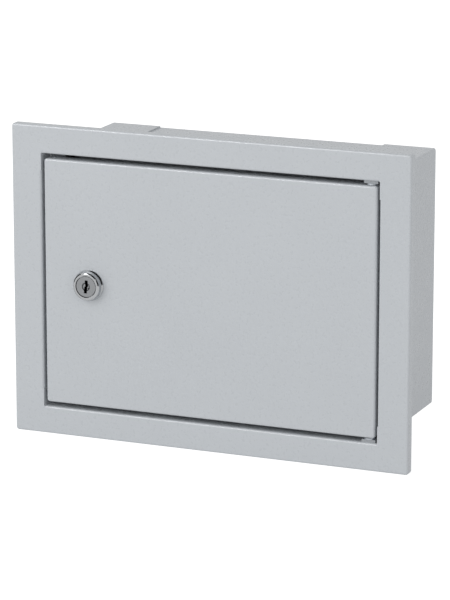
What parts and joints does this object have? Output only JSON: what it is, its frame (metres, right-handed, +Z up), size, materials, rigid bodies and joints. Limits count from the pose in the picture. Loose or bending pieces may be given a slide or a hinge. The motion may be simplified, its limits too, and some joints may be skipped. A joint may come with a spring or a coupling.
{
  "type": "distribution board enclosure",
  "caption": "Flush-mounted sheet-steel distribution board with a trim frame, an inset hinged door with a cam lock, a cover plate and a mounting rail.",
  "frame": {"origin": "centre of the wall box's back face, which is also the centre of its four wall-screw holes", "axes": "+X to the right seen from the front, +Y into the wall, +Z up"},
  "size_m": [0.3, 0.1256, 0.225],
  "materials": {
    "powder_coated_steel": "light grey fine-textured powder coat, semi-matt",
    "galvanised_steel": "bright galvanised",
    "zinc_plated_steel": "clear zinc plate",
    "chrome_plated_zinc": "polished chrome on a zinc die casting",
    "brass": "drawn brass bar",
    "blue_polyamide": "moulded",
    "green_polyamide": "moulded"
  },
  "bodies": {
    "enclosure": {"wall_box": "powder_coated_steel", "trim_frame": "powder_coated_steel", "cover_plate": "powder_coated_steel", "side_bracket_left": "galvanised_steel", "side_bracket_right": "galvanised_steel", "din_rail": "galvanised_steel", "frame_screws": "zinc_plated_steel", "hinge_lug_top": "zinc_plated_steel", "hinge_lug_bottom": "zinc_plated_steel", "hinge_pin_top": "zinc_plated_steel", "hinge_pin_bottom": "zinc_plated_steel", "bracket_studs": "zinc_plated_steel", "bracket_nuts": "zinc_plated_steel", "rail_screws": "zinc_plated_steel", "rail_nuts": "zinc_plated_steel", "cover_screws": "zinc_plated_steel", "neutral_bar_screws": "zinc_plated_steel", "earth_bar_screws": "zinc_plated_steel", "bar_studs": "zinc_plated_steel", "bar_nuts": "zinc_plated_steel", "earth_stud": "zinc_plated_steel", "earth_stud_nuts": "zinc_plated_steel", "hinge_washers": "zinc_plated_steel", "neutral_bar": "brass", "earth_bar": "brass", "neutral_bar_supports": "blue_polyamide", "earth_bar_supports": "green_polyamide"},
    "door": {"door_leaf": "powder_coated_steel", "lock_barrel": "chrome_plated_zinc", "lock_nut": "chrome_plated_zinc", "door_earth_stud": "zinc_plated_steel", "door_earth_nut": "zinc_plated_steel"},
    "lock_rotor": {"lock_plug": "chrome_plated_zinc", "lock_cam": "zinc_plated_steel", "cam_washer": "zinc_plated_steel", "cam_screw": "zinc_plated_steel"}
  },
  "joints": [
    {"name": "door_hinge", "type": "hinge", "parent": "enclosure", "child": "door", "pos_m": [0.1203, -0.115, 0], "axis": [0, 0, 1], "range_deg": [0, 105]},
    {"name": "lock_turn", "type": "hinge", "parent": "door", "child": "lock_rotor", "pos_m": [-0.0907, -0.11, 0], "axis": [0, 1, 0], "range_deg": [0, 90]}
  ]
}
